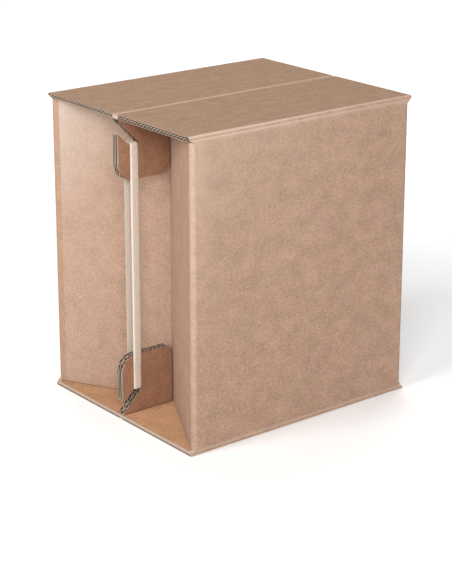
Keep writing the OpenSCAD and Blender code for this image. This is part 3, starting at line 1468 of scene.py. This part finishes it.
@dataclass(frozen=True)
class LevelFold(Crease):
    """Crease of a level fold, pressed into a bead, a groove and a low ridge when it was scored.

    Args:
        reach: how far the crease reaches over each flat side.
        flat_rows: rows of points over each of them.
        score: place along the profile, half width and height of the bead, the groove and the ridge.
        depth: of its hidden side below the boards' faces.
        rub_and_light: how far the whole crease is made paler at the seat's front, part wear and part painted
            highlight.
        bead_rub_and_light: how much paler its bead and ridge are, part wear and part painted highlight where
            they catch the light.
        shaded_share: share of both that is left at the right end, and all along the base's creases, where
            less light falls.
    """

    reach: float = 3.6 * MM
    flat_rows: int = 10
    score: tuple[tuple[float, float, float], ...] = (
        (4.6 * MM, 2.7 * MM, 0.4 * MM), (7.3 * MM, 1.5 * MM, -0.4 * MM), (9.6 * MM, 2.1 * MM, 0.25 * MM),
    )
    depth: float = 0.3 * MM
    rub_and_light: float = 0.22
    bead_rub_and_light: float = 0.68
    shaded_share: float = 0.45

    @property
    def name(self) -> str:
        """Name of the piece."""
        return f"{self.corner.end}_{'top' if self.corner.upper else 'base'}_crease"

    @property
    def bodies(self) -> tuple[str, str]:
        """Bodies at the crease's start and end."""
        return self.corner.sheet, self.corner.panel

    def bent_paper(self) -> tuple[Shell, np.ndarray]:
        """Carry a flat, a quarter arc and a flat, scored by squared cosines, along the width.

        Returns:
            The paper, and where its bend starts and ends.
        """
        s = self.sizes
        bend, away = arc((s.half_d - s.fold_r, s.height - s.fold_r), s.fold_r, 90, 0, steps=25)
        run = np.linspace(self.reach, 0, self.flat_rows, endpoint=False)[:, None]
        line, normal, length = lengthened(bend, away, run * [-1, 0], run[::-1] * [0, -1])
        place, half, height = (np.array(column)[:, None] for column in zip(*self.score))
        bumps = height * np.cos(np.clip((length - place) / half, -1, 1) * math.pi / 2) ** 2
        rise = self.lift + np.sum(bumps, axis=0)
        # The crease is painted paler, most on its bead and ridge and towards the left, and not at all on the
        # rear top crease: part wear, part painted highlight.
        wear_and_light = self.rub_and_light + self.bead_rub_and_light * np.sum(np.maximum(bumps, 0), axis=0) / np.max(height)
        ends = np.array([1 if self.corner.upper else self.shaded_share, self.shaded_share])
        wear_and_light = wear_and_light[:, None] * ends * (not (self.corner.rear and self.corner.upper))
        edge = np.where(line[:, 1] > s.height - s.ear_land, s.half_w, s.wall_edge(line[:, 1]))
        x = np.stack([-edge, edge], axis=-1)
        hidden = np.minimum(rise, self.lift) - self.depth
        lines = [line + up[:, None] * normal for up in (rise, hidden)]
        shell = closed_sheet(*carried(x, *lines), wear_and_light=wear_and_light)
        return shell, points_of(0, bend[[0, -1], 0], bend[[0, -1], 1])


@dataclass(frozen=True)
class UprightFold(Crease):
    """Rounded crease of an upright fold, between a panel and its gusset flap.

    Args:
        reach: how far the paper reaches over each flat side.
        flat_rows: rows of points over each of them.
        shaded_strip: how far a rear fold's darker paper reaches over the flap, a painted shade where the fold
            turns away from the light.
        swell: how far it bulges in the middle of the fold.
        depth: of its hidden side below the boards' faces.
        wear_and_light: how far the front's left fold is painted pale at its top, a painted highlight which
            fades towards the foot.
        shaded_share: share of it that a right fold shows, where less light falls.
        rear_light_share: share of it that a rear fold shows.
    """

    reach: float = 0.6 * MM
    flat_rows: int = 3
    shaded_strip: float = 4.6 * MM
    swell: float = 0.1 * MM
    depth: float = 0.4 * MM
    wear_and_light: float = 0.24
    shaded_share: float = 0.2
    rear_light_share: float = 0.5

    @property
    def name(self) -> str:
        """Name of the piece."""
        return f"{self.corner.side}_{self.corner.end}_upright_crease"

    @property
    def bodies(self) -> tuple[str, str]:
        """Bodies at the crease's start and end."""
        return self.corner.panel, self.corner.flap

    def bent_paper(self) -> tuple[Shell, np.ndarray]:
        """Carry a flat, an arc about the fold's axis and a flat up the fold, swollen by a squared sine.

        Returns:
            The paper, and where its bend starts and ends.
        """
        s = self.sizes
        bend, away = arc((s.fold_x, s.fold_y), s.board, 90, -math.degrees(s.flap_angle), steps=19)
        run = np.linspace(self.reach, 0, self.flat_rows, endpoint=False)[:, None]
        # A rear fold's paper reaches further over the flap, to carry the darker paper painted as shade where
        # the fold turns from the light.
        over = run[::-1] * (self.shaded_strip / self.reach if self.corner.rear else 1)
        line, normal, length = lengthened(bend, away, run * [-1, 0], over * s.flap_inward)
        rise = self.lift + self.swell * np.sin(math.pi * length / length[-1]) ** 2
        z = np.array([[s.round_z, s.height - s.round_z]])
        lines = [line + rise[:, None] * normal, line - self.depth * normal]
        # The front's left fold is painted palest at its top, a painted highlight; the right and rear folds
        # show less of it.
        share = (self.shaded_share if self.corner.right else 1) * (self.rear_light_share if self.corner.rear else 1)
        grids = [points_of(each[:, :1], each[:, 1:], z) for each in lines]
        shell = closed_sheet(*grids, wear_and_light=self.wear_and_light * share * np.array([[0, 1]]))
        return shell, points_of(bend[[0, -1], 0], bend[[0, -1], 1], s.height / 2)


@dataclass(frozen=True)
class ElasticBand:
    """Elastic band in two sleeves that slide in each other, one held by each hook, as it stretches.

    Args:
        sizes: the drum's sizes.
        right: whether it is the right band.
        room: between the band and the hook.
        inner_t: thickness of the upper sleeve.
        outer_t: thickness of the lower sleeve, which lies over the upper one.
        play: between the two sleeves.
        short: how far from the other saddle a sleeve ends.
        step_out: distances from its saddle between which the outer sleeve steps out.
        bunched: how much thicker the band is at its saddle, where it bunches up.
        bunch_run: distances from its saddle between which that fades.
        feather: length of a sleeve's thinned end.
        feather_t: share of the thickness that is left at the very end.
        rounded: share of the thickness that the crown falls to an edge, and the edge's own rounding.
        steps: rows of points along each run.
        across: points across the strip.
    """

    sizes: Sizes
    right: bool
    room: float = 0.3 * MM
    inner_t: float = 0.95 * MM
    outer_t: float = 1.0 * MM
    play: float = 0.05 * MM
    short: float = 3 * MM
    step_out: tuple[float, float] = (24 * MM, 34 * MM)
    bunched: float = 0.95 * MM
    bunch_run: tuple[float, float] = (3 * MM, 20 * MM)
    feather: float = 7 * MM
    feather_t: float = 0.06
    rounded: tuple[float, float] = (0.45, 0.45)
    steps: int = 60
    across: int = 15

    @property
    def node(self) -> str:
        """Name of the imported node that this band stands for."""
        return f"elastic_band_{'right' if self.right else 'left'}"

    def path(self) -> tuple[np.ndarray, np.ndarray]:
        """Run up one side of the upper hook, over its saddle and down the other side.

        Returns:
            Depth and height of each point, and the outward directions.
        """
        s = self.sizes
        saddle = s.height - s.saddle
        over, away = arc((s.board, saddle), self.room, 0, 90, steps=7)
        drop = np.linspace(s.height - 2 * s.saddle - self.short, 0, self.steps, endpoint=False)
        rise = np.stack([np.full_like(drop, s.board + self.room), saddle - drop], axis=-1)
        out = np.tile([1.0, 0.0], (self.steps, 1))
        half, turned = np.concatenate([rise, over]), np.concatenate([out, away])
        return tuple(np.concatenate([each, each[::-1] * [-1, 1]]) for each in (half, turned))

    def sleeve(self, outer: bool) -> Shell:
        """Carry a crowned strip along the path over the upper saddle.

        The strip's thickness falls with the fourth power of the distance from its middle, and once
        more with the 24th power, so its edges are rounded, and it thins to a feather edge at both
        free ends. The outer sleeve steps out over the inner one a little way from its saddle.

        Args:
            outer: whether it is the sleeve that lies outside.

        Returns:
            The sleeve.
        """
        s = self.sizes
        low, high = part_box(self.node)
        thick = self.outer_t if outer else self.inner_t
        line, normal = self.path()
        along = s.height - s.saddle - line[:, 1]
        step = np.interp(along, self.step_out, [0, self.inner_t + self.play]) * outer
        extra = np.interp(along, self.bunch_run, [self.bunched, 0])
        taper = np.interp(along, [along[0] - self.feather, along[0]], [1, self.feather_t])
        x = np.linspace(low.x, high.x, self.across)
        share = (x - (low.x + high.x) / 2) / ((high.x - low.x) / 2)
        crown = 1 - self.rounded[0] * share ** 4 - self.rounded[1] * share ** 24
        depth = ((thick + extra) * taper)[:, None] * crown[None, :]
        inner = line + step[:, None] * normal
        faces = []
        for height in (depth, 0 * depth):
            place = inner[:, None, :] + height[:, :, None] * normal[:, None, :]
            faces.append(points_of(x[None, :], place[:, :, 0], place[:, :, 1]))
        return closed_sheet(*faces, under=Paper.OUTER, rim=Paper.OUTER)

    def build(self, elastic: bpy.types.Material) -> list[bpy.types.Object]:
        """Make both sleeves and let them stand for the band.

        Args:
            elastic: the band's material.

        Returns:
            The two objects.
        """
        pieces = []
        for outer in (False, True):
            corner = Corner(upper=not outer)
            shells = corner.place([self.sleeve(outer)], self.sizes.height)
            piece = make_object(f"{self.node}_{corner.level}_sleeve", shells, [elastic])
            pieces.append(stand_for(piece, self.node, f"{corner.level}_tabs", "elastic_band"))
        return pieces


def aim(eye: np.ndarray, target: np.ndarray) -> Matrix:
    """Place that looks from an eye to a target along its own negative Z, with Y up.

    Args:
        eye: where it stands.
        target: what it looks at.

    Returns:
        The place, with its sides by cross products.
    """
    back = (eye - target) / np.linalg.norm(eye - target)
    side = np.cross([0, 0, 1], back)
    side /= np.linalg.norm(side)
    rows = np.eye(4)
    rows[:3, :4] = np.stack([side, np.cross(back, side), back, eye], axis=-1)
    return Matrix(rows.tolist())


@dataclass(frozen=True)
class Softbox:
    """Square studio lamp behind a diffuser.

    Args:
        name: the lamp's name.
        place: where it stands.
        size: length of its side.
        power: in watts.
        target: what it is turned to, the drum's middle if nothing else is said.
    """

    name: str
    place: tuple[float, float, float]
    size: float
    power: float
    target: tuple[float, float, float] = (0.0, 0.0, 0.18)

    def build(self) -> None:
        """Put the lamp in its place and turn it to its target."""
        lamp = bpy.data.lights.new(self.name, "AREA")
        lamp.shape = "SQUARE"
        lamp.size = self.size
        lamp.energy = self.power
        thing = bpy.data.objects.new(self.name, lamp)
        thing.matrix_world = aim(np.array(self.place), np.array(self.target))
        bpy.context.scene.collection.objects.link(thing)


@dataclass(frozen=True)
class Studio:
    """Pale floor, soft light and the camera of the photograph, whose picture is 452 by 584.

    Args:
        eye: place of the camera.
        yaw: turn of the camera from straight ahead towards the right, in degrees.
        pitch: how far it looks down, in degrees.
        sensor: height of the camera's picture in millimetres.
        lens: focal length in millimetres.
        shift_y: upward shift of the picture, in shares of its height.
        sight: how far the camera sees.
        sky: brightness of the light from all around.
        floor_half: half the length of the floor's side.
        floor_z: height of the floor, just under the beads of the base's creases.
        floor_tone: its colour, sRGB hex.
        lamps: a key lamp behind the camera, two side lamps, and one over the floor behind.
    """

    eye: tuple[float, float, float] = (-1.187, -1.495, 0.786)
    yaw: float = 38.34
    pitch: float = 17.40
    sensor: float = 36
    lens: float = 108.1
    shift_y: float = -0.101
    sight: float = 50
    sky: float = 0.1
    floor_half: float = 9.0
    floor_z: float = -0.4 * MM
    floor_tone: str = "#f8f8f8"
    lamps: tuple[Softbox, ...] = (
        Softbox("key", (-1.67, -1.99, 1.68), 1.4, 68),
        Softbox("left_side", (-2.6, 0.001, 1.68), 1.4, 70),
        Softbox("low_front", (0.101, -2.97, 0.598), 1.4, 28),
        Softbox("floor_lamp", (1.451, 1.7, 2.4), 2.5, 72, (1.45, 1.7, 0.0)),
    )

    def camera(self) -> None:
        """Set up the camera from its turn and its downward look."""
        yaw, pitch = math.radians(self.yaw), math.radians(self.pitch)
        way = np.array([math.sin(yaw) * math.cos(pitch), math.cos(yaw) * math.cos(pitch), -math.sin(pitch)])
        data = bpy.data.cameras.new("camera")
        data.sensor_width = self.sensor
        data.lens = self.lens
        data.shift_y = self.shift_y
        data.clip_end = self.sight
        thing = bpy.data.objects.new("camera", data)
        thing.matrix_world = aim(np.array(self.eye), np.array(self.eye) + way)
        bpy.context.scene.collection.objects.link(thing)
        bpy.context.scene.camera = thing

    def floor(self) -> None:
        """Lay a large matt white floor, which sinks with the base's crease as the drum folds."""
        edge = np.array([[-1, -1], [1, -1], [1, 1], [-1, 1]]) * self.floor_half
        mesh = bpy.data.meshes.new("floor")
        mesh.from_pydata(points_of(edge[:, 0], edge[:, 1], self.floor_z).tolist(), [], [[0, 1, 2, 3]])
        material, _, shader = bare_material("white_paper_floor", Roughness=0.9, Specular_IOR_Level=0.0)
        shader.inputs["Base Color"].default_value = linear(self.floor_tone)
        mesh.materials.append(material)
        thing = bpy.data.objects.new("floor", mesh)
        bpy.context.scene.collection.objects.link(thing)
        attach(thing, "lower_tabs")

    def light(self) -> None:
        """Light the drum with the lamps and a faint white sky."""
        scene = bpy.context.scene
        scene.view_settings.view_transform = "Standard"
        scene.world = bpy.data.worlds.new("studio")
        scene.world.use_nodes = True
        back = scene.world.node_tree.nodes["Background"]
        back.inputs["Color"].default_value = (1, 1, 1, 1)
        back.inputs["Strength"].default_value = self.sky
        for lamp in self.lamps:
            lamp.build()


def finish(paper: Paper, grain: Grain, pitch: float) -> KraftFinish:
    """Choose the finish of one paper of a board from its tones and traits.

    Args:
        paper: which surface it is.
        grain: the way the board lies.
        pitch: distance from flute to flute.

    Returns:
        The finish.
    """
    pale, deep = TONES[paper].get(grain, TONES[paper][None])
    plain = KraftFinish(f"kraft_{paper.name.lower()}_{grain.name.lower()}", pale, deep, grain, pitch)
    if paper in (Paper.FLUTING, Paper.CUT):
        return replace(plain, **CUT_TRAITS)
    return replace(plain, **LINER_TRAITS.get(grain, {})) if paper is Paper.OUTER else plain


def main() -> None:
    """Build the drum's boards, folds and bands, then the studio around them."""
    logging.basicConfig(level=logging.INFO, format="%(message)s")
    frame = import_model()
    sizes = Sizes.from_frame(frame["joints"])
    board = Board(sizes.board)
    tab_board = replace(board, paper=TAB_PAPER)
    papers = {grain: [finish(paper, grain, board.pitch).material() for paper in Paper] for grain in Grain}
    # Darker paper for the rear upright folds: painted shade where they turn away from the light.
    fold_shade = replace(finish(Paper.OUTER, Grain.PANEL, board.pitch), **FOLD_SHADE_TRAITS).material()
    elastic = ElasticFinish("cotton_elastic", crown="#d7cabc", valley_shade="#b8ab9c").material()
    for rear in (True, False):
        for upper in (True, False):
            corner = Corner(rear=rear, upper=upper)
            SeatHalf(sizes, board, corner).build(papers[Grain.LEVEL])
            GlueStrip(sizes, tab_board, corner).build(papers[Grain.HANGING])
            LevelFold(sizes, corner).build(papers[Grain.PANEL])
            for right in (True, False):
                HookTab(sizes, tab_board, Corner(right, rear, upper)).build(papers[Grain.HANGING])
        UprightWall(sizes, board, Corner(rear=rear)).build(papers[Grain.PANEL])
        # Rear upright folds get the darker paper painted as shade.
        outer = fold_shade if rear else papers[Grain.PANEL][0]
        for right in (True, False):
            GussetFlap(sizes, board, Corner(right, rear)).build(papers[Grain.GUSSET])
            UprightFold(sizes, Corner(right, rear)).build([outer, *papers[Grain.PANEL][1:]])
    for right in (True, False):
        ElasticBand(sizes, right).build(elastic)
    studio = Studio()
    studio.camera()
    studio.floor()
    studio.light()


if __name__ == "__main__":
    main()
